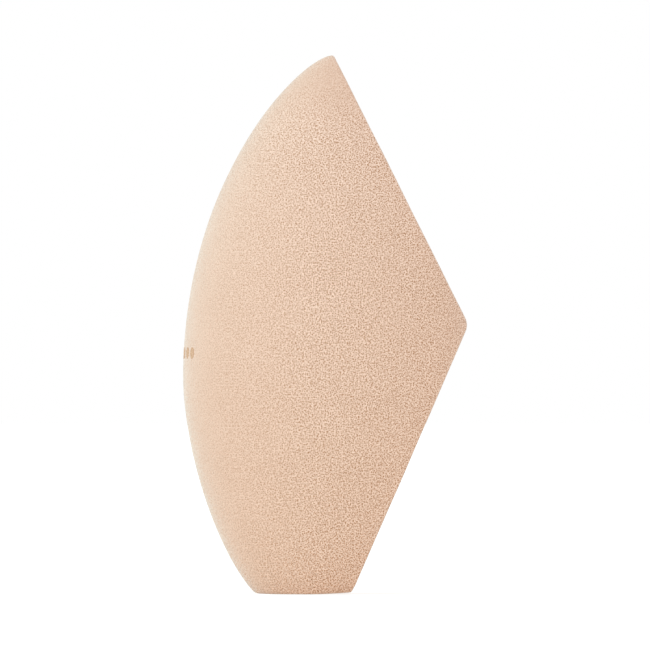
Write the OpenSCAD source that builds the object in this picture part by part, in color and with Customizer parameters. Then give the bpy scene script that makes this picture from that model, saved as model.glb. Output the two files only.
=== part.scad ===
// Angle-cut makeup sponge: a turned drop of soft foam with a flat base and a blunt tip,
// sliced on one side by two flats that meet in a soft ridge, and a row of plain dots
// printed round its back. Z runs up the drop's axis from the base, and X points to the flats.

/* [Foam drop] */
// Height from the base to the tip
drop_h = 70; // [50:0.5:100]
// Diameter at the widest level
drop_d = 38.9; // [30:0.1:46]
// Height of the widest level above the base
widest_h = 28.2; // [20:0.1:40]
// Diameter of the base, measured where the side would meet it with no rounding
base_d = 20.3; // [14:0.1:26]
// Radius of the rounding round the base
base_edge_r = 0.6; // [0.2:0.1:2]
// How far the side leans outwards from upright where it leaves the base, in degrees
foot_lean = 40; // [25:1:50]
// How long the foot keeps that lean, as a share of the widest level's height
foot_share = 0.3; // [0.1:0.01:0.4]
// How long the side is near upright under the widest level, as a share of that level's height
waist_share = 0.3; // [0.1:0.01:0.5]
// How long the shoulder stays upright, as a share of the height above the widest level
shoulder_share = 0.63; // [0.4:0.01:0.75]
// How blunt the tip is, as a share of the widest radius
tip_share = 0.2; // [0.1:0.005:0.4]

/* [Cut flats] */
// Reach of the ridge from the axis, measured before it is rounded
ridge_reach = 17.6; // [12:0.1:22]
// Height of the ridge above the base
ridge_h = 35; // [25:0.5:45]
// Radius of the rounded ridge
ridge_r = 2; // [0.5:0.1:5]
// Distance from the axis to the upper flat, at the level of the tip
tip_land = 0.1; // [0.1:0.1:2]
// Distance from the axis to the lower flat, at the level of the base
base_land = 2.4; // [1:0.1:6]

/* [Printed dots] */
// Number of dots in the row
dot_count = 7; // [3:1:11]
// Diameter of a dot
dot_d = 1.5; // [0.8:0.1:2]
// Spacing of the dots round the widest level
dot_pitch = 2.2; // [2.1:0.1:3]
// Height of the row above the base
dot_h = 31.3; // [25:0.1:38]
// Thickness of the dried ink
ink_t = 0.1; // [0.05:0.01:0.3]

/* [Hidden] */
// How far a cutting shape runs past what it cuts
overrun = 5;
// Straight steps along each stretch of the drop's outline
edge_steps = 6;
lower_steps = 28;
upper_steps = 44;
// Smoothness of true circles
$fn = 96;

widest_r = drop_d / 2;
base_r = base_d / 2;

// The rounding of the base touches the base plane and the leaning foot of the side
edge_back = base_edge_r * tan((90 - foot_lean) / 2);
edge_centre = [base_r - edge_back, base_edge_r];

// The side is two cubic curves that meet upright at the widest level, each as its end points and pulls
foot_way = [sin(foot_lean), cos(foot_lean)];
foot = [base_r, 0] + edge_back * foot_way;
widest = [widest_r, widest_h];
tip = [0, drop_h];
lower_side = [
    foot,
    foot + foot_share * widest_h * foot_way,
    widest - [0, waist_share * widest_h],
    widest
];
upper_side = [
    widest,
    widest + [0, shoulder_share * (drop_h - widest_h)],
    tip + [tip_share * widest_r, 0],
    tip
];

// How far each flat leans from the axis
upper_lean = atan2(ridge_reach - tip_land, drop_h - ridge_h);
lower_lean = atan2(ridge_reach - base_land, ridge_h);
upper_out = [cos(upper_lean), sin(upper_lean)];
lower_out = [cos(lower_lean), -sin(lower_lean)];
ridge_centre = [ridge_reach, ridge_h] - ridge_r * (upper_out + lower_out) / (1 + upper_out * lower_out);

foam_colour = [0.90, 0.78, 0.69];
ink_colour = [0.72, 0.56, 0.40];

// Point at an angle on a circle
function on_circle(centre, radius, angle) = centre + radius * [cos(angle), sin(angle)];

// Point on a cubic curve, at a share of the way along it
function on_curve(curve, share) =
    let (rest = 1 - share)
    pow(rest, 3) * curve[0] + 3 * rest * rest * share * curve[1]
    + 3 * rest * share * share * curve[2] + pow(share, 3) * curve[3];

// Unit vector that points out of the foam there
function outward(curve, share) =
    let (
        rest = 1 - share,
        along = rest * rest * (curve[1] - curve[0])
            + 2 * rest * share * (curve[2] - curve[1])
            + share * share * (curve[3] - curve[2])
    )
    [along.y, -along.x] / norm(along);

// A curve in so many steps, moved out by a thickness, without its last point
function curve_outline(curve, steps, out) =
    [for (i = [0 : steps - 1]) on_curve(curve, i / steps) + out * outward(curve, i / steps)];

// The side from the rounded base edge to the tip, moved out by a thickness
function side_outline(out) = concat(
    curve_outline(lower_side, lower_steps, out),
    curve_outline(upper_side, upper_steps, out),
    [tip + [0, out]]
);

// A list from its last item to its first
function reversed(items) = [for (i = [len(items) - 1 : -1 : 0]) items[i]];

// The rounding from the flat base up to where the side takes over
function base_edge_outline() =
    let (start = -90, end = -foot_lean)
    [for (i = [0 : edge_steps - 1])
        on_circle(edge_centre, base_edge_r, start + (end - start) * i / edge_steps)];

// The whole drop before it is sliced
module turned_drop() {
    rotate_extrude()
        polygon(concat([[0, 0]], base_edge_outline(), side_outline(0)));
}

// What the two slices leave, seen from the side, with the ridge between them rounded
module kept_outline() {
    far = widest_r + overrun;
    polygon([
        [-far, -overrun],
        [base_land - overrun * tan(lower_lean), -overrun],
        ridge_centre + ridge_r * lower_out,
        ridge_centre + ridge_r * upper_out,
        [tip_land - overrun * tan(upper_lean), drop_h + overrun],
        [-far, drop_h + overrun]
    ]);
    translate(ridge_centre) circle(r = ridge_r);
}

module foam_body() {
    color(foam_colour)
        intersection() {
            turned_drop();
            rotate([90, 0, 0])
                linear_extrude(height = drop_d + 2 * overrun, center = true)
                    kept_outline();
        }
}

// A skin of ink over the whole side, from which the dots are taken
module ink_skin() {
    rotate_extrude()
        polygon(concat(side_outline(ink_t), reversed(side_outline(0))));
}

module printed_dots() {
    turn = 360 * dot_pitch / (PI * drop_d);
    color(ink_colour)
        intersection() {
            ink_skin();
            for (i = [0 : dot_count - 1])
                rotate([0, 0, 180 + (i - (dot_count - 1) / 2) * turn])
                    translate([0, 0, dot_h])
                        rotate([0, 90, 0])
                            cylinder(d = dot_d, h = widest_r + overrun);
        }
}

foam_body();
printed_dots();
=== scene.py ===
import math

import bpy
import numpy as np
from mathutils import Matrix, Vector


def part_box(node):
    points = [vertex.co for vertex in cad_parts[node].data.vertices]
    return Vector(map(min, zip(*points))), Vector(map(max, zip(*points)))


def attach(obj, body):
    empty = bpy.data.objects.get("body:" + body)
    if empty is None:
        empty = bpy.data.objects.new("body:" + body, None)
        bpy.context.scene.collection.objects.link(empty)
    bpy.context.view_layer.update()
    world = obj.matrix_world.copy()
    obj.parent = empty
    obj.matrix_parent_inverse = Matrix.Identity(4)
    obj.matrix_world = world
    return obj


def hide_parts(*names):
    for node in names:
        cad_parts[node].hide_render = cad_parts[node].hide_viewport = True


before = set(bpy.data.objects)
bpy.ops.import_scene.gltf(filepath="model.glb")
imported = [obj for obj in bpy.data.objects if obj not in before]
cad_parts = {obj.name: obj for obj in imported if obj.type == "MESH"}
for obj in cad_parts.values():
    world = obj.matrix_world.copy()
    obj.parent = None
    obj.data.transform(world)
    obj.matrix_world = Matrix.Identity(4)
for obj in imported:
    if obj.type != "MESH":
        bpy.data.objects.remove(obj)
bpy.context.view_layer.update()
scene = bpy.context.scene
scene.view_settings.view_transform = "Standard"
MM = 0.001

# The foam body. A block of soft open-cell polyurethane foam is ground to a drop with a flat base, and
# two straight slices take one side off. Grinding breaks the cells open, so that the skin is all pores:
# pale walls round small pits, whose shade the finish paints in as a darker, redder colour.
foam_low, foam_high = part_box("foam_body")

# The drop's outline and its two slices, in the CAD's sizes
WIDEST_H = 28.2 * MM
BASE_R = 10.15 * MM
BASE_EDGE_R = 0.6 * MM
FOOT_LEAN = math.radians(40)
FOOT_SHARE = 0.3
WAIST_SHARE = 0.3
SHOULDER_SHARE = 0.63
TIP_SHARE = 0.2
RIDGE_REACH = 17.6 * MM
RIDGE_H = 35 * MM
RIDGE_R = 2 * MM
TIP_LAND = 0.1 * MM
BASE_LAND = 2.4 * MM
OUTLINE_STEPS = 96
RIDGE_STEPS = 24
ROWS = 240
COLUMNS = 360
WELD_GAP = 0.001 * MM

# The skin's mesh, its foot that springs up beside the line on which it rests, its slow unevenness and
# the pits of its larger cells
SKIN_STEP = 0.11 * MM
EASING_ROUNDS = 10
REST_X = -5.6 * MM
SPRING_BEND = 240 * MM
SPRING_H = 1.2 * MM
UNEVEN_PITCH = 9 * MM
UNEVEN_DEPTH = 0.12 * MM
CELL_PITCH = 0.32 * MM
CELL_PIT_DEPTH = 0.05 * MM
CELL_SHARES = (0.35, 0.7)
PIT_FLOOR_SHARE = 0.3
MEAN_PIT = 0.1

# The skin's looks: its fine pores and fuzz, how much painted shade each puts in its gaps, and where
# painted light fades that shade
PORE_PITCH = 0.24 * MM
PORE_DEPTH = 0.04 * MM
PORE_SHARES = (0.36, 0.5)
PORE_BUMP = 0.6
GRAIN_PITCH = 0.17 * MM
GRAIN_RANGE = (0.4, 0.6)
TONE_PITCH = 5 * MM
TONE_SHARE = 0.08
PIT_SHADE = 0.1
PORE_SHADE = 0.6
GRAIN_SHADE = 0.35
MEAN_SHADE = 0.335
BACK_SHARES = (0.9, 0.1)
BACK_LIT_GRAIN_SHARE = 0.3
TIP_SHARES = (0.86, 0.95)
TIP_LIT_GRAIN_SHARE = 0.35
TIP_TONE = 0.05
WALL_COLOUR = (0.92, 0.653, 0.534, 1)
PIT_SHADE_COLOUR = (0.397, 0.169, 0.065, 1)
FOAM_ROUGHNESS = (0.84, 0.98)
FOAM_SHINE = {
    "Specular IOR Level": 0.2,
    "Sheen Weight": 0.7,
    "Sheen Roughness": 0.35,
    "Sheen Tint": (0.88, 0.94, 0.96, 1),
}

# The skin's own map, a square whose surfaces lie a gap apart
MAP_SIDE = 112 * MM
MAP_GAP = 1.2 * MM
MAP_STEPS = 400


def node(tree, kind, **settings):
    """Adds a node, with its properties by name and its inputs by the words in inputs."""
    made = tree.nodes.new(kind)
    wires = settings.pop("inputs", {})
    for name, value in settings.items():
        setattr(made, name, value)
    for name, value in wires.items():
        socket = made.inputs[name]
        if isinstance(value, bpy.types.NodeSocket):
            tree.links.new(value, socket)
        else:
            socket.default_value = value
    return made


def maths(tree, operation, *values):
    """The result of a Math node."""
    return node(tree, "ShaderNodeMath", operation=operation, inputs=dict(enumerate(values))).outputs[0]


def vector_maths(tree, operation, *values):
    """The vector that a Vector Math node makes of one or two vectors."""
    made = node(tree, "ShaderNodeVectorMath", operation=operation, inputs=dict(enumerate(values)))
    return made.outputs[0]


def stretched(tree, vector, factor):
    """A vector times one number."""
    made = node(tree, "ShaderNodeVectorMath", operation="SCALE", inputs={0: vector, "Scale": factor})
    return made.outputs[0]


def joined(tree, **parts):
    """A vector from its parts X, Y and Z, each of them zero where it isn't given."""
    return node(tree, "ShaderNodeCombineXYZ", inputs=parts).outputs[0]


def split(tree, vector):
    """A vector's parts, by the words X, Y and Z."""
    return node(tree, "ShaderNodeSeparateXYZ", inputs={0: vector}).outputs


def ranged(tree, value, before, after, steps="LINEAR"):
    """A value moved from the range before to the range after, whose ends it doesn't pass."""
    made = node(tree, "ShaderNodeMapRange", interpolation_type=steps, inputs={
        "Value": value,
        "From Min": before[0],
        "From Max": before[1],
        "To Min": after[0],
        "To Max": after[1],
    })
    return made.outputs[0]


def noise(tree, place, pitch, detail, dimensions="3D"):
    """Smooth noise whose swells are about a pitch apart."""
    made = node(tree, "ShaderNodeTexNoise", noise_dimensions=dimensions, inputs={
        "Vector": place, "Scale": maths(tree, "DIVIDE", 1.0, pitch), "Detail": detail,
    })
    return made.outputs[0]


def moved(tree, shape, **where):
    """Geometry with its points at a Position, or moved by an Offset."""
    return node(tree, "GeometryNodeSetPosition", inputs={"Geometry": shape, **where}).outputs[0]


def welded(tree, shape):
    """Geometry whose points that lie at one place are one point."""
    made = node(tree, "GeometryNodeMergeByDistance", inputs={"Geometry": shape, "Distance": WELD_GAP})
    return made.outputs[0]


def kept_vector(tree, shape, name, domain, value):
    """Geometry that keeps a vector under a name."""
    made = node(tree, "GeometryNodeStoreNamedAttribute", data_type="FLOAT_VECTOR", domain=domain, inputs={
        "Geometry": shape, "Name": name, "Value": value,
    })
    return made.outputs[0]


def geometry_tree(name, sizes):
    """Starts a Geometry Nodes tree with the named sizes as inputs, and returns both."""
    tree = bpy.data.node_groups.new(name, "GeometryNodeTree")
    tree.interface.new_socket("Geometry", in_out="INPUT", socket_type="NodeSocketGeometry")
    kinds = {
        int: "NodeSocketInt",
        float: "NodeSocketFloat",
        bpy.types.Material: "NodeSocketMaterial",
        bpy.types.Object: "NodeSocketObject",
    }
    for label, value in sizes.items():
        tree.interface.new_socket(label, in_out="INPUT", socket_type=kinds[type(value)])
    tree.interface.new_socket("Geometry", in_out="OUTPUT", socket_type="NodeSocketGeometry")
    return tree, tree.nodes.new("NodeGroupInput").outputs


def end_tree(tree, shape, finish):
    """Ends a tree in Realize Instances and Set Material."""
    real = node(tree, "GeometryNodeRealizeInstances", inputs={0: shape})
    painted = node(tree, "GeometryNodeSetMaterial", inputs={
        "Geometry": real.outputs[0], "Material": finish,
    })
    tree.links.new(painted.outputs[0], tree.nodes.new("NodeGroupOutput").inputs[0])


def add_tree(piece, tree, sizes):
    """Puts a tree on a piece as a modifier and sets its named inputs."""
    modifier = piece.modifiers.new(tree.name, "NODES")
    modifier.node_group = tree
    for socket in tree.interface.items_tree:
        if socket.in_out == "INPUT" and socket.name in sizes:
            modifier[socket.identifier] = sizes[socket.name]


def add_object(name, data):
    """Adds an object to the scene, at the origin."""
    made = bpy.data.objects.new(name, data)
    scene.collection.objects.link(made)
    return made


def plain_mesh(piece, name):
    """Turns what a piece's modifiers make into a plain mesh object, and removes the first piece."""
    ready = piece.evaluated_get(bpy.context.evaluated_depsgraph_get())
    mesh = bpy.data.meshes.new_from_object(ready)
    mesh.name = name
    made = add_object(name, mesh)
    bpy.data.objects.remove(piece)
    return made


def new_finish(name, constants):
    """Starts a material with the named constants, and returns it with its nodes and its shader."""
    finish = bpy.data.materials.new(name)
    finish.use_nodes = True
    shader = finish.node_tree.nodes["Principled BSDF"]
    for label, value in constants.items():
        shader.inputs[label].default_value = value
    return finish, finish.node_tree, shader


def end_finish(tree, shader, colour, roughness, sunk, depth, strength):
    """Gives a shader its colour and roughness, and sinks it by a depth where sunk is 1."""
    bump = node(tree, "ShaderNodeBump", invert=True, inputs={
        "Height": sunk, "Distance": depth, "Strength": strength,
    })
    tree.links.new(colour, shader.inputs["Base Color"])
    tree.links.new(roughness, shader.inputs["Roughness"])
    tree.links.new(bump.outputs[0], shader.inputs["Normal"])


def blend(tree, share, first, second):
    """A colour between two."""
    made = node(tree, "ShaderNodeMix", data_type="RGBA", inputs={0: share, 6: first, 7: second})
    return made.outputs[2]


def arc_pull(radius, turn):
    """How long a Bezier handle is for an arc of this radius and turn."""
    return 4 / 3 * math.tan(turn / 4) * radius


def drop_points():
    """Half of the drop's outline, from the middle of the base to the tip: Bezier points and handles."""
    drop_h, widest_r = foam_high.z, foam_high.y
    edge_turn = math.pi / 2 - FOOT_LEAN
    edge_back = BASE_EDGE_R * math.tan(edge_turn / 2)
    edge_pull = arc_pull(BASE_EDGE_R, edge_turn)
    across, up = Vector((1, 0, 0)), Vector((0, 0, 1))
    rising = math.sin(FOOT_LEAN) * across + math.cos(FOOT_LEAN) * up
    base_middle = Vector((0, 0, 0))
    edge_start = (BASE_R - edge_back) * across
    foot = BASE_R * across + edge_back * rising
    widest = widest_r * across + WIDEST_H * up
    tip = drop_h * up
    shoulder = SHOULDER_SHARE * (drop_h - WIDEST_H)
    return [
        (base_middle, base_middle, edge_start / 3),
        (edge_start, edge_start * 2 / 3, edge_start + edge_pull * across),
        (foot, foot - edge_pull * rising, foot + FOOT_SHARE * WIDEST_H * rising),
        (widest, widest - WAIST_SHARE * WIDEST_H * up, widest + shoulder * up),
        (tip, tip + TIP_SHARE * widest_r * across, tip),
    ]


def outline_curve(points):
    """The half outline as a curve object."""
    curve = bpy.data.curves.new("drop_outline", "CURVE")
    curve.dimensions = "3D"
    curve.resolution_u = OUTLINE_STEPS
    spline = curve.splines.new("BEZIER")
    spline.bezier_points.add(len(points) - 1)
    for point, (place, before, after) in zip(spline.bezier_points, points):
        point.handle_left_type = point.handle_right_type = "FREE"
        point.co, point.handle_left, point.handle_right = place, before, after
    return add_object("drop_outline", curve)


def turned_drop(tree, size):
    """The outline turned about Z: a unit grid's columns go round the axis, and its rows up the outline."""
    grid = node(tree, "GeometryNodeMeshGrid", inputs={
        "Size X": 1.0, "Size Y": 1.0, "Vertices X": size["Columns"], "Vertices Y": size["Rows"],
    })
    parts = split(tree, node(tree, "GeometryNodeInputPosition").outputs[0])
    outline = node(tree, "GeometryNodeSampleCurve", mode="FACTOR", inputs={
        "Curves": size["Geometry"], "Factor": maths(tree, "ADD", parts["Y"], 0.5),
    })
    turned = node(tree, "ShaderNodeVectorRotate", rotation_type="Z_AXIS", inputs={
        "Vector": outline.outputs["Position"],
        "Angle": maths(tree, "MULTIPLY", maths(tree, "ADD", parts["X"], 0.5), math.tau),
    })
    return welded(tree, moved(tree, grid.outputs["Mesh"], Position=turned.outputs[0]))


def kept_block(tree, size):
    """A block that holds all that the two slices leave, with the ridge between them rounded."""

    def past_end(foot_x, foot_z):
        """A point as far beyond a slice's far end as that end is from the ridge."""
        return joined(
            tree,
            X=maths(tree, "SUBTRACT", maths(tree, "MULTIPLY", foot_x, 2.0), size["Ridge Reach"]),
            Y=maths(tree, "SUBTRACT", maths(tree, "MULTIPLY", foot_z, 2.0), size["Ridge Height"]),
        )

    far = maths(tree, "MULTIPLY", size["Height"], -2.0)
    kept = node(tree, "GeometryNodeCurvePrimitiveQuadrilateral", mode="POINTS", inputs={
        "Point 1": joined(tree, X=size["Ridge Reach"], Y=size["Ridge Height"]),
        "Point 2": past_end(size["Tip Land"], size["Height"]),
        "Point 3": joined(tree, X=far, Y=size["Ridge Height"]),
        "Point 4": past_end(size["Base Land"], 0.0),
    })
    index = node(tree, "GeometryNodeInputIndex").outputs[0]
    at_ridge = node(tree, "FunctionNodeCompare", data_type="INT", operation="EQUAL", inputs={
        2: index, 3: 0,
    })
    kept = node(tree, "GeometryNodeFilletCurve", mode="POLY", inputs={
        "Curve": kept.outputs[0],
        "Count": RIDGE_STEPS,
        "Radius": maths(tree, "MULTIPLY", at_ridge.outputs[0], size["Ridge Radius"]),
    })
    kept = node(tree, "GeometryNodeFillCurve", inputs={"Curve": kept.outputs[0]})
    thick = node(tree, "GeometryNodeExtrudeMesh", mode="FACES", inputs={
        "Mesh": kept.outputs[0], "Offset Scale": size["Height"], "Individual": False,
    })
    back = node(tree, "GeometryNodeFlipFaces", inputs={"Mesh": kept.outputs[0]})
    block = node(tree, "GeometryNodeJoinGeometry")
    tree.links.new(thick.outputs["Mesh"], block.inputs[0])
    tree.links.new(back.outputs[0], block.inputs[0])
    block = node(tree, "GeometryNodeTransform", inputs={
        "Geometry": welded(tree, block.outputs[0]),
        "Translation": joined(tree, Y=maths(tree, "DIVIDE", size["Height"], 2.0)),
        "Rotation": (math.pi / 2, 0, 0),
    })
    return block.outputs[0]


def turned_and_sliced(sizes):
    """Geometry Nodes that turn the outline about Z and keep what the two slices leave of it."""
    tree, size = geometry_tree("turned_and_sliced", sizes)
    drop, block = turned_drop(tree, size), kept_block(tree, size)
    sliced = node(tree, "GeometryNodeMeshBoolean", operation="INTERSECT", solver="EXACT")
    tree.links.new(drop, sliced.inputs["Mesh 2"])
    tree.links.new(block, sliced.inputs["Mesh 2"])
    end_tree(tree, sliced.outputs["Mesh"], size["Finish"])
    return tree


def nearest_plane(tree, place, normal):
    """A place's two coordinates across the axis that the surface faces most."""
    at = split(tree, place)
    faces = split(tree, vector_maths(tree, "ABSOLUTE", normal))
    most_x = maths(tree, "GREATER_THAN", faces["X"], maths(tree, "MAXIMUM", faces["Y"], faces["Z"]))
    most_z = maths(tree, "GREATER_THAN", faces["Z"], maths(tree, "MAXIMUM", faces["X"], faces["Y"]))
    first = node(tree, "ShaderNodeMix", data_type="FLOAT", inputs={0: most_x, 2: at["X"], 3: at["Y"]})
    second = node(tree, "ShaderNodeMix", data_type="FLOAT", inputs={0: most_z, 2: at["Z"], 3: at["Y"]})
    return joined(tree, X=first.outputs[0], Y=second.outputs[0])


def broken_cells(tree, place, pitch, shares, dimensions="3D"):
    """Pits of broken cells round points scattered pitch apart: 1 in a pit's floor, and 0 on the walls."""
    in_cells = stretched(tree, place, maths(tree, "DIVIDE", 1.0, pitch))
    cells = node(tree, "ShaderNodeTexVoronoi", voronoi_dimensions=dimensions, inputs={
        "Vector": in_cells, "Scale": 1.0,
    })
    reach = ranged(tree, split(tree, cells.outputs["Color"])["X"], (0.0, 1.0), shares)
    pit_floor = maths(tree, "MULTIPLY", reach, PIT_FLOOR_SHARE)
    return ranged(tree, cells.outputs["Distance"], (pit_floor, reach), (1.0, 0.0), "SMOOTHSTEP")


def sprung_foot(tree, place, size):
    """How far the soft foot springs up at both sides of the line on which it rests, less above it."""
    parts = split(tree, place)
    square = maths(tree, "POWER", maths(tree, "SUBTRACT", parts["X"], size["Rest X"]), 2.0)
    fading = ranged(tree, parts["Z"], (0.0, size["Spring Height"]), (1.0, 0.0))
    rise = maths(tree, "MULTIPLY", maths(tree, "DIVIDE", square, size["Spring Bend"]), fading)
    return joined(tree, Z=rise)


def open_skin(sizes):
    """Geometry Nodes that ease the edges, spring the foot, make the skin uneven and sink its pits."""
    tree, size = geometry_tree("open_skin", sizes)
    place = node(tree, "GeometryNodeInputPosition").outputs[0]
    eased = node(tree, "GeometryNodeBlurAttribute", data_type="FLOAT_VECTOR", inputs={
        "Value": place, "Iterations": size["Easing Rounds"],
    })
    skin = moved(tree, size["Geometry"], Position=eased.outputs[0])
    skin = moved(tree, skin, Offset=sprung_foot(tree, place, size))
    normal = node(tree, "GeometryNodeInputNormal").outputs[0]
    face_normal = node(tree, "GeometryNodeFieldOnDomain", data_type="FLOAT_VECTOR", domain="FACE", inputs={
        "Value": normal,
    })
    plane = nearest_plane(tree, place, face_normal.outputs[0])
    skin = kept_vector(tree, skin, "skin_plane", "CORNER", plane)
    swell = noise(tree, place, size["Uneven Pitch"], detail=1.0)
    shares = (size["Least Pit Share"], size["Most Pit Share"])
    pit = broken_cells(tree, place, size["Cell Pitch"], shares)
    uneven = maths(tree, "MULTIPLY", maths(tree, "SUBTRACT", swell, 0.5), size["Uneven Depth"])
    sunk = maths(tree, "MULTIPLY", maths(tree, "SUBTRACT", pit, MEAN_PIT), size["Pit Depth"])
    inward = stretched(tree, normal, maths(tree, "MULTIPLY", maths(tree, "ADD", uneven, sunk), -1.0))
    skin = node(tree, "GeometryNodeSetShadeSmooth", inputs={
        "Geometry": moved(tree, skin, Offset=inward),
    })
    end_tree(tree, skin.outputs[0], size["Finish"])
    return tree


def fine_grain(tree, plane):
    """The fuzz of the finest walls: 0 on a pale edge, and 1 in a gap, where the finishes paint shade."""
    swells = noise(tree, plane, GRAIN_PITCH, detail=0.0, dimensions="2D")
    return ranged(tree, swells, GRAIN_RANGE, (1.0, 0.0))


def foam_finish():
    """Matt pale foam, with painted shade, darker and redder, in its pits, and painted light that fades
    this shade and the pits' bumps round the back and at the tip, which face the lamps; the tip is also a
    little darker.
    """
    finish, tree, shader = new_finish("open_cell_foam", FOAM_SHINE)
    place = node(tree, "ShaderNodeTexCoord").outputs["Object"]
    plane = node(tree, "ShaderNodeAttribute", attribute_name="skin_plane").outputs["Vector"]
    parts = split(tree, place)
    # Painted light: round the back and at the tip, which face the lamps, the grain's painted shade and
    # bump fade as though the lamps filled the pits
    back_range = [foam_low.x * share for share in BACK_SHARES]
    tip_range = [foam_high.z * share for share in TIP_SHARES]
    at_back = ranged(tree, parts["X"], back_range, (BACK_LIT_GRAIN_SHARE, 1.0))
    at_tip = ranged(tree, parts["Z"], tip_range, (0.0, 1.0))
    grain_washed_at_tip = maths(tree, "MULTIPLY", at_tip, 1 - TIP_LIT_GRAIN_SHARE)
    grain_left_by_light = maths(tree, "MULTIPLY", at_back, maths(tree, "SUBTRACT", 1.0, grain_washed_at_tip))

    pit = broken_cells(tree, place, CELL_PITCH, CELL_SHARES)
    pore = broken_cells(tree, plane, PORE_PITCH, PORE_SHARES, "2D")
    grain = fine_grain(tree, plane)
    # Painted shade: the pits, the pores and the gaps of the fuzz are darkened towards the pit colour
    dark = maths(tree, "MULTIPLY", pit, PIT_SHADE)
    dark = maths(tree, "ADD", dark, maths(tree, "MULTIPLY", pore, PORE_SHADE))
    dark = maths(tree, "ADD", dark, maths(tree, "MULTIPLY", grain, GRAIN_SHADE))
    dark = maths(tree, "MULTIPLY", maths(tree, "SUBTRACT", dark, MEAN_SHADE), grain_left_by_light)
    tone = maths(tree, "SUBTRACT", noise(tree, place, TONE_PITCH, detail=2.0), 0.5)
    tone = maths(tree, "MULTIPLY", tone, TONE_SHARE)
    tone = maths(tree, "ADD", tone, maths(tree, "MULTIPLY", at_tip, TIP_TONE))
    dark = maths(tree, "ADD", maths(tree, "ADD", dark, MEAN_SHADE), tone)
    end_finish(
        tree, shader,
        colour=blend(tree, dark, WALL_COLOUR, PIT_SHADE_COLOUR),
        roughness=ranged(tree, dark, (0.0, 1.0), FOAM_ROUGHNESS),
        sunk=pore, depth=PORE_DEPTH, strength=maths(tree, "MULTIPLY", grain_left_by_light, PORE_BUMP),
    )
    return finish


def corner_places(mesh):
    """Each face corner's place and the number of its face, and each face's middle."""
    vertex_of = np.empty(len(mesh.loops), np.int32)
    mesh.loops.foreach_get("vertex_index", vertex_of)
    places = np.empty(len(mesh.vertices) * 3)
    mesh.vertices.foreach_get("co", places)
    corners = places.reshape(-1, 3)[vertex_of]
    counts = np.empty(len(mesh.polygons), np.int32)
    mesh.polygons.foreach_get("loop_total", counts)
    starts = np.concatenate(([0], np.cumsum(counts)[:-1]))
    middles = np.add.reduceat(corners, starts) / counts[:, None]
    return corners, np.repeat(np.arange(len(counts)), counts), middles


def outline_run(points):
    """The outline beyond the base as many short steps: its places, and the way along it up to each."""
    turns = np.linspace(0, 1, MAP_STEPS)[:, None]
    outline = np.concatenate([
        (1 - turns) ** 3 * np.array(a[0]) + 3 * (1 - turns) ** 2 * turns * np.array(a[2])
        + 3 * (1 - turns) * turns ** 2 * np.array(b[1]) + turns ** 3 * np.array(b[0])
        for a, b in zip(points[1:], points[2:])
    ])
    steps = np.hypot(*np.diff(outline[:, [0, 2]], axis=0).T)
    return outline, np.concatenate(([0], np.cumsum(steps)))


def seen(spots):
    """How far spots are from the axis' point at the ridge's height, and under which angle."""
    across, up = np.hypot(spots[:, 0], spots[:, 1]), spots[:, 2] - RIDGE_H
    return np.hypot(across, up), np.arctan2(up, across)


def slice_way(foot_x, foot_z):
    """A slice's way from the ridge to its foot, the length of that way, and its outward side."""
    way = np.array((foot_x - RIDGE_REACH, 0, foot_z - RIDGE_H))
    length = np.linalg.norm(way)
    way /= length
    return way, length, np.array((abs(way[2]), 0, -way[0] * np.sign(way[2])))


def lay_out(mesh, points):
    """Gives the skin its map: the round side unrolled from its middle, with flats and base beneath."""
    corners, face_of, middles = corner_places(mesh)
    outline, run = outline_run(points)
    side_away, side_angle = seen(outline)
    away, angle = seen(middles)
    ridge = np.array((RIDGE_REACH, 0, RIDGE_H))
    up_way, up_length, up_out = slice_way(TIP_LAND, foam_high.z)
    down_way, down_length, down_out = slice_way(BASE_LAND, 0)

    # Each face goes to the surface that it lies nearest to: side, upper flat, lower flat or base
    depths = np.stack([
        np.interp(angle, side_angle, side_away) - away,
        (ridge - middles) @ up_out,
        (ridge - middles) @ down_out,
        middles[:, 2],
    ])
    chart = np.argmin(depths, axis=0)[face_of]
    on_side, on_lower_flat, on_base = chart == 0, chart == 2, chart == 3

    around = np.arctan2(middles[:, 1], -middles[:, 0])[face_of]
    own_turn = np.arctan2(corners[:, 1], -corners[:, 0])
    around += (own_turn - around + math.pi) % math.tau - math.pi
    at = seen(corners)[1]
    strip_h = 2 * MAP_GAP + 2 * np.abs(corners[on_lower_flat, 1]).max()
    base_reach = np.abs(corners[on_base, 0]).max()
    up_start = MAP_GAP + RIDGE_R
    down_start = up_start + up_length + RIDGE_R + 2 * MAP_GAP
    base_start = down_start + down_length + base_reach + 2 * MAP_GAP
    map_across = np.choose(chart, [
        MAP_SIDE / 2 + around * np.interp(at, side_angle, outline[:, 0]),
        up_start + (corners - ridge) @ up_way,
        down_start + (corners - ridge) @ down_way,
        base_start + corners[:, 0],
    ])
    map_up = strip_h / 2 + corners[:, 1]
    map_up = np.where(on_side, strip_h + np.interp(at, side_angle, run), map_up)
    spots = np.stack((map_across, map_up), axis=1) / MAP_SIDE
    layer = mesh.uv_layers.new(name="OFBake")
    layer.data.foreach_set("uv", spots.astype(np.float32).ravel())


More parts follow.
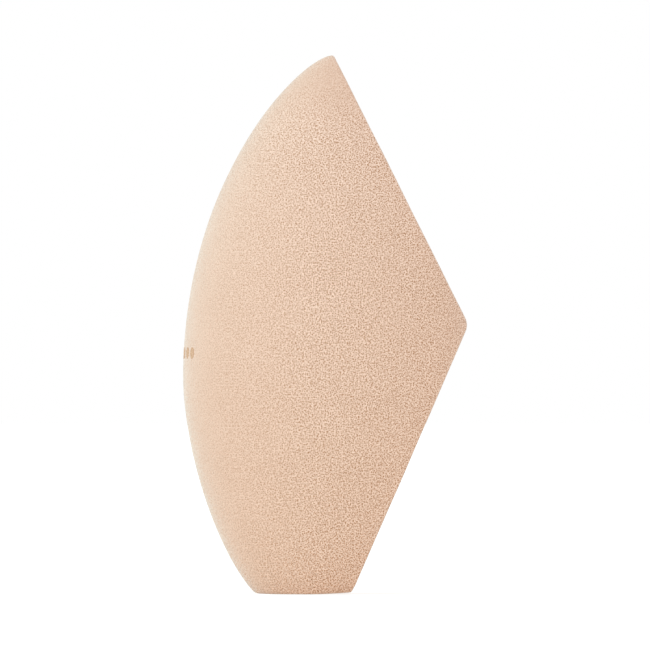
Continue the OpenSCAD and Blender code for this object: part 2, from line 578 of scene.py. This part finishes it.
foam_material = foam_finish()
outline_points = drop_points()
body_sizes = {
    "Height": foam_high.z,
    "Ridge Reach": RIDGE_REACH,
    "Ridge Height": RIDGE_H,
    "Ridge Radius": RIDGE_R,
    "Tip Land": TIP_LAND,
    "Base Land": BASE_LAND,
    "Rows": ROWS,
    "Columns": COLUMNS,
    "Finish": foam_material,
}
foam = outline_curve(outline_points)
add_tree(foam, turned_and_sliced(body_sizes), body_sizes)
foam = plain_mesh(foam, "foam_block")
remesh = foam.modifiers.new("even_skin", "REMESH")
remesh.mode = "VOXEL"
remesh.voxel_size = SKIN_STEP
skin_sizes = {
    "Easing Rounds": EASING_ROUNDS,
    "Rest X": REST_X,
    "Spring Bend": SPRING_BEND,
    "Spring Height": SPRING_H,
    "Uneven Pitch": UNEVEN_PITCH,
    "Uneven Depth": UNEVEN_DEPTH,
    "Cell Pitch": CELL_PITCH,
    "Pit Depth": CELL_PIT_DEPTH,
    "Least Pit Share": CELL_SHARES[0],
    "Most Pit Share": CELL_SHARES[1],
    "Finish": foam_material,
}
add_tree(foam, open_skin(skin_sizes), skin_sizes)
foam = plain_mesh(foam, "foam_skin")
lay_out(foam.data, outline_points)
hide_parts("foam_body")
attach(foam, "root")

# The printed dots. A row of small dots is pressed round the back with a pad. The ink is a thin matt
# film that soaks into the cell walls, follows the pits and ends in a slightly ragged rim.
ink_low, ink_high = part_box("printed_dots")
DOT_COUNT = 7
DOT_D = 1.5 * MM
DOT_PITCH = 2.2 * MM
DISC_CORNERS = 72
DISC_RINGS = 12
FILM_OUT = 0.02 * MM
FILM_IN = 0.06 * MM
RAGGED_PITCH = 0.3 * MM
RAGGED_SHARE = 0.16
INK_COLOUR = (0.58, 0.325, 0.19, 1)
THIN_INK_COLOUR = (0.7, 0.44, 0.3, 1)
THIN_RANGE = (0.3, 0.6)
IN_PIT_SHADE_SHARE = 0.35
INK_ROUGHNESS = (0.6, 0.85)
INK_PORE_DEPTH = PORE_DEPTH / 2
INK_BUMP = 0.6
INK_SHINE = {"Specular IOR Level": 0.25}


def disc_row(tree, size):
    """Thick discs in a row round the back, each point of which keeps the centre of its disc."""
    row = node(tree, "GeometryNodeMeshLine", inputs={"Count": size["Dots"]})
    index = node(tree, "GeometryNodeInputIndex").outputs[0]
    middle = maths(tree, "DIVIDE", maths(tree, "SUBTRACT", size["Dots"], 1), 2.0)
    turn = maths(tree, "DIVIDE", size["Dot Pitch"], size["Body Radius"])
    from_middle = maths(tree, "MULTIPLY", maths(tree, "SUBTRACT", index, middle), turn)
    angle = maths(tree, "ADD", from_middle, math.pi)
    out = joined(tree, X=maths(tree, "COSINE", angle), Y=maths(tree, "SINE", angle))
    level = joined(tree, Z=size["Row Height"])
    centre = vector_maths(tree, "ADD", stretched(tree, out, size["Body Radius"]), level)
    row = kept_vector(tree, moved(tree, row.outputs[0], Position=centre), "dot_centre", "POINT", centre)
    disc = node(tree, "GeometryNodeMeshCylinder", inputs={
        "Vertices": DISC_CORNERS,
        "Fill Segments": DISC_RINGS,
        "Radius": maths(tree, "DIVIDE", size["Dot Diameter"], 2.0),
        "Depth": size["Dot Diameter"],
    })
    discs = node(tree, "GeometryNodeInstanceOnPoints", inputs={
        "Points": row,
        "Instance": disc.outputs["Mesh"],
        "Rotation": joined(tree, Y=math.pi / 2, Z=angle),
    })
    return node(tree, "GeometryNodeRealizeInstances", inputs={0: discs.outputs[0]}).outputs[0]


def inked_dots(sizes):
    """Geometry Nodes that set a row of discs round the back and press both faces of each to the skin."""
    tree, size = geometry_tree("inked_dots", sizes)
    discs = disc_row(tree, size)
    place = node(tree, "GeometryNodeInputPosition").outputs[0]
    own_centre = node(tree, "GeometryNodeInputNamedAttribute", data_type="FLOAT_VECTOR", inputs={
        "Name": "dot_centre",
    }).outputs[0]
    rim = noise(tree, place, size["Ragged Pitch"], detail=1.0)
    swelling = maths(tree, "MULTIPLY", maths(tree, "SUBTRACT", rim, 0.5), size["Ragged Share"])
    from_centre = vector_maths(tree, "SUBTRACT", place, own_centre)
    ragged = split(tree, vector_maths(tree, "ADD", place, stretched(tree, from_centre, swelling)))
    across = joined(tree, X=ragged["X"], Y=ragged["Y"])
    outward = vector_maths(tree, "NORMALIZE", across)

    # Each point goes straight in to the skin from well outside it, and then a film's depth out or in
    clear = maths(tree, "MULTIPLY", size["Body Radius"], 2.0)
    start = vector_maths(tree, "ADD", stretched(tree, outward, clear), joined(tree, Z=ragged["Z"]))
    skin = node(tree, "GeometryNodeObjectInfo", inputs={"Object": size["Skin"]}).outputs["Geometry"]
    hit = node(tree, "GeometryNodeRaycast", inputs={
        "Target Geometry": skin,
        "Source Position": start,
        "Ray Direction": stretched(tree, outward, -1.0),
        "Ray Length": clear,
    })
    reach = node(tree, "ShaderNodeVectorMath", operation="LENGTH", inputs={0: across}).outputs["Value"]
    outer = maths(tree, "GREATER_THAN", reach, size["Body Radius"])
    thickness = maths(tree, "ADD", size["Film Out"], size["Film In"])
    film = maths(tree, "SUBTRACT", maths(tree, "MULTIPLY", outer, thickness), size["Film In"])
    pressed = vector_maths(tree, "ADD", hit.outputs["Hit Position"], stretched(tree, outward, film))
    dots = node(tree, "GeometryNodeSetShadeSmooth", inputs={
        "Geometry": moved(tree, discs, Position=pressed),
    })
    end_tree(tree, dots.outputs[0], size["Finish"])
    return tree


def ink_finish():
    """Matt tan ink, thinner and paler in blotches, with painted shade in the foam's pits."""
    finish, tree, shader = new_finish("tan_ink", INK_SHINE)
    place = node(tree, "ShaderNodeTexCoord").outputs["Object"]
    parts = split(tree, place)
    grain = fine_grain(tree, joined(tree, X=parts["Y"], Y=parts["Z"]))
    blotch = noise(tree, place, RAGGED_PITCH, detail=2.0)
    thin = ranged(tree, blotch, THIN_RANGE, (0.0, 1.0))
    coat = blend(tree, thin, INK_COLOUR, THIN_INK_COLOUR)
    # Painted shade: the ink is darkened towards the pit colour in the foam's gaps
    pit_shade = maths(tree, "MULTIPLY", grain, IN_PIT_SHADE_SHARE)
    end_finish(
        tree, shader,
        colour=blend(tree, pit_shade, coat, PIT_SHADE_COLOUR),
        roughness=ranged(tree, blotch, (0.0, 1.0), INK_ROUGHNESS),
        sunk=grain, depth=INK_PORE_DEPTH, strength=INK_BUMP,
    )
    return finish


ink_sizes = {
    "Dots": DOT_COUNT,
    "Dot Diameter": DOT_D,
    "Dot Pitch": DOT_PITCH,
    "Row Height": (ink_low.z + ink_high.z) / 2,
    "Body Radius": foam_high.y,
    "Film Out": FILM_OUT,
    "Film In": FILM_IN,
    "Ragged Pitch": RAGGED_PITCH,
    "Ragged Share": RAGGED_SHARE,
    "Skin": foam,
    "Finish": ink_finish(),
}
ink = add_object("ink_row", bpy.data.meshes.new("ink_row"))
add_tree(ink, inked_dots(ink_sizes), ink_sizes)
ink = plain_mesh(ink, "ink_dots")
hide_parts("printed_dots")
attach(ink, "root")

# The floor. A plain pale sheet that the sponge stands on, lit a little from below like a light table,
# and white to the camera but for the soft shadow under the base.
FLOOR_SIDE = 12.0
FLOOR_COLOUR = (0.65, 0.62, 0.58, 1)
FLOOR_TINT = (1, 1, 0.85, 1)
FLOOR_LIGHT = 0.33
SEEN_FLOOR_COLOUR = (0.34, 0.34, 0.34, 1)
SEEN_FLOOR_GLOW = 0.78
WHITE = (1, 1, 1, 1)


def is_seen(tree):
    """1 for rays that reach the eye, straight, by a mirror or through glass, and 0 for plain light."""
    rays = node(tree, "ShaderNodeLightPath").outputs
    in_mirror_or_glass = maths(tree, "MAXIMUM", rays["Is Glossy Ray"], rays["Is Transmission Ray"])
    return maths(tree, "MAXIMUM", rays["Is Camera Ray"], in_mirror_or_glass)


def glowing(tree, colour, glow_colour, glow):
    """A diffuse shader with a light of its own."""
    sheet = node(tree, "ShaderNodeBsdfDiffuse", inputs={"Color": colour})
    light = node(tree, "ShaderNodeEmission", inputs={"Color": glow_colour, "Strength": glow})
    return node(tree, "ShaderNodeAddShader", inputs={0: sheet.outputs[0], 1: light.outputs[0]}).outputs[0]


def end_lit_and_seen(tree, as_lit, as_seen, output):
    """Ends a tree in one shader for the light that it gives, and another for how it is seen."""
    both = node(tree, "ShaderNodeMixShader", inputs={0: is_seen(tree), 1: as_lit, 2: as_seen})
    tree.links.new(both.outputs[0], tree.nodes[output].inputs["Surface"])


half = FLOOR_SIDE / 2
corners = [(-half, -half, 0), (half, -half, 0), (half, half, 0), (-half, half, 0)]
floor_mesh = bpy.data.meshes.new("floor")
floor_mesh.from_pydata(corners, [], [(0, 1, 2, 3)])
paper, paper_tree, first_shader = new_finish("pale_floor", {})
paper_tree.nodes.remove(first_shader)
end_lit_and_seen(
    paper_tree,
    glowing(paper_tree, FLOOR_COLOUR, FLOOR_TINT, FLOOR_LIGHT),
    glowing(paper_tree, SEEN_FLOOR_COLOUR, WHITE, SEEN_FLOOR_GLOW),
    "Material Output",
)
floor_mesh.materials.append(paper)
floor = add_object("floor", floor_mesh)

# The light. A white room that is brighter and cooler at the left and in front, and two large soft lamps
# at the left: one high in front, and a cooler one behind that edges the sponge's back.
ROOM_LIGHT = 0.97
ROOM_SLOPES = {
    "Red": Vector((-0.128, -0.025, -0.088)),
    "Green": Vector((-0.19, -0.114, -0.081)),
    "Blue": Vector((-0.218, -0.172, -0.115)),
}
LAMP_WIDTH = math.radians(50)
LAMPS = {
    "front_lamp": (Vector((-0.35, -0.5, 0.8)), 0.24, (0.63, 0.93, 1)),
    "back_lamp": (Vector((-0.65, 0.55, 0.5)), 0.2, (0.28, 0.9, 1)),
}

world = bpy.data.worlds.new("white_room")
world.use_nodes = True
scene.world = world
room_tree = world.node_tree
room = room_tree.nodes["Background"]
way = node(room_tree, "ShaderNodeTexCoord").outputs["Generated"]
levels = {}
for channel, slope in ROOM_SLOPES.items():
    lean = node(room_tree, "ShaderNodeVectorMath", operation="DOT_PRODUCT", inputs={0: way, 1: slope})
    levels[channel] = maths(room_tree, "ADD", lean.outputs["Value"], ROOM_LIGHT)
room_colour = node(room_tree, "ShaderNodeCombineColor", inputs=levels)
room_tree.links.new(room_colour.outputs[0], room.inputs["Color"])
white = node(room_tree, "ShaderNodeBackground", inputs={"Color": WHITE, "Strength": 1.0})
end_lit_and_seen(room_tree, room.outputs[0], white.outputs[0], "World Output")

for name, (lamp_from, strength, colour) in LAMPS.items():
    lamp_data = bpy.data.lights.new(name, "SUN")
    lamp_data.energy = strength * math.pi
    lamp_data.color = colour
    lamp_data.angle = LAMP_WIDTH
    lamp = add_object(name, lamp_data)
    lamp.location = lamp_from
    lamp.rotation_euler = lamp_from.to_track_quat("Z", "Y").to_euler()

# The view. The sponge is seen square to the slices, level with its middle and from far away, so that
# both slices show as straight edges at the right.
PICTURE_PX = 650
AXIS_PX = 332.8
BASE_PX = 593.8
TIP_PX = 55.2
CAMERA_LENS_MM = 1500

metres_per_px = foam_high.z / (BASE_PX - TIP_PX)
picture_width = PICTURE_PX * metres_per_px
aim = Vector((
    (PICTURE_PX / 2 - AXIS_PX) * metres_per_px,
    0,
    (BASE_PX - PICTURE_PX / 2) * metres_per_px,
))
camera_data = bpy.data.cameras.new("camera")
camera_data.lens = CAMERA_LENS_MM
camera_distance = picture_width * CAMERA_LENS_MM / camera_data.sensor_width
camera_data.clip_end = camera_distance + FLOOR_SIDE
camera = add_object("camera", camera_data)
camera.location = aim - camera_distance * Vector((0, 1, 0))
camera.rotation_euler = (math.pi / 2, 0, 0)
scene.camera = camera
